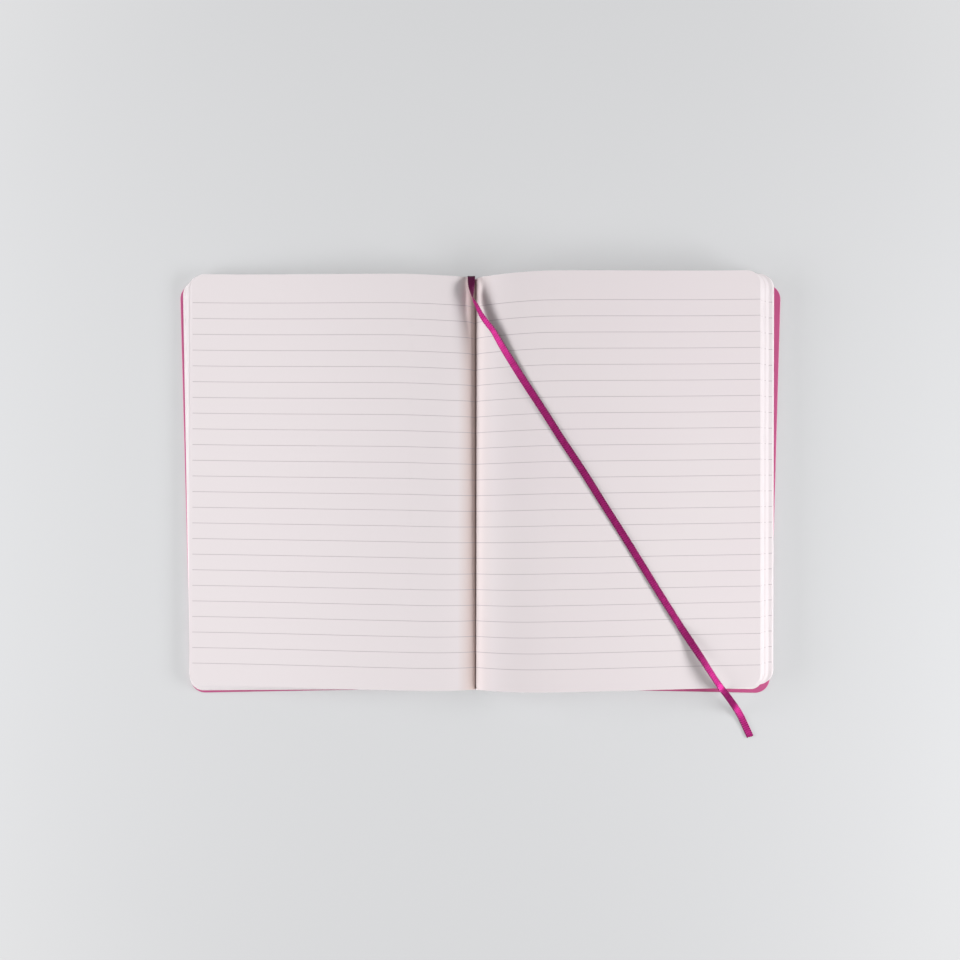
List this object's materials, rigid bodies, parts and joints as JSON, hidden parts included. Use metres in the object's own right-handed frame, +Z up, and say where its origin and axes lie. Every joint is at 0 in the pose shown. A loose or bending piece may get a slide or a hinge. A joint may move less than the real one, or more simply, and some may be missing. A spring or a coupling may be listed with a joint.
{
  "type": "open ruled notebook",
  "caption": "Soft-cover ruled notebook lying open, with rounded pages that arch to a deep gutter, a hinged soft cover and a woven ribbon marker across the right-hand page.",
  "frame": {"origin": "under the middle of the spine, on the surface that the notebook lies on", "axes": "+X to the right across the open book, +Y from tail to head along the spine, +Z up"},
  "size_m": [0.3072, 0.2386, 0.016],
  "materials": {
    "cover": "fine-grained soft leatherette, satin",
    "endpaper": "smooth matt paper",
    "lining": "cloth-backed paper, matt",
    "pages": "smooth uncoated paper with fine grey rules",
    "ribbon": "woven ribbed satin"
  },
  "bodies": {
    "pages_and_spine": {"page_block": "pages", "spine_lining": "lining", "spine_cover": "cover", "ribbon_marker": "ribbon"},
    "front_half": {"front_cover": "cover", "front_endpaper": "endpaper"},
    "back_half": {"back_cover": "cover", "back_endpaper": "endpaper"}
  },
  "joints": [
    {"name": "front_cover_fold", "type": "hinge", "parent": "pages_and_spine", "child": "front_half", "pos_m": [-0.007, 0, 0.00045], "axis": [0, -1, 0], "range_deg": [0, 90]},
    {"name": "back_cover_fold", "type": "hinge", "parent": "pages_and_spine", "child": "back_half", "pos_m": [0.007, 0, 0.00045], "axis": [0, 1, 0], "range_deg": [0, 90]}
  ]
}
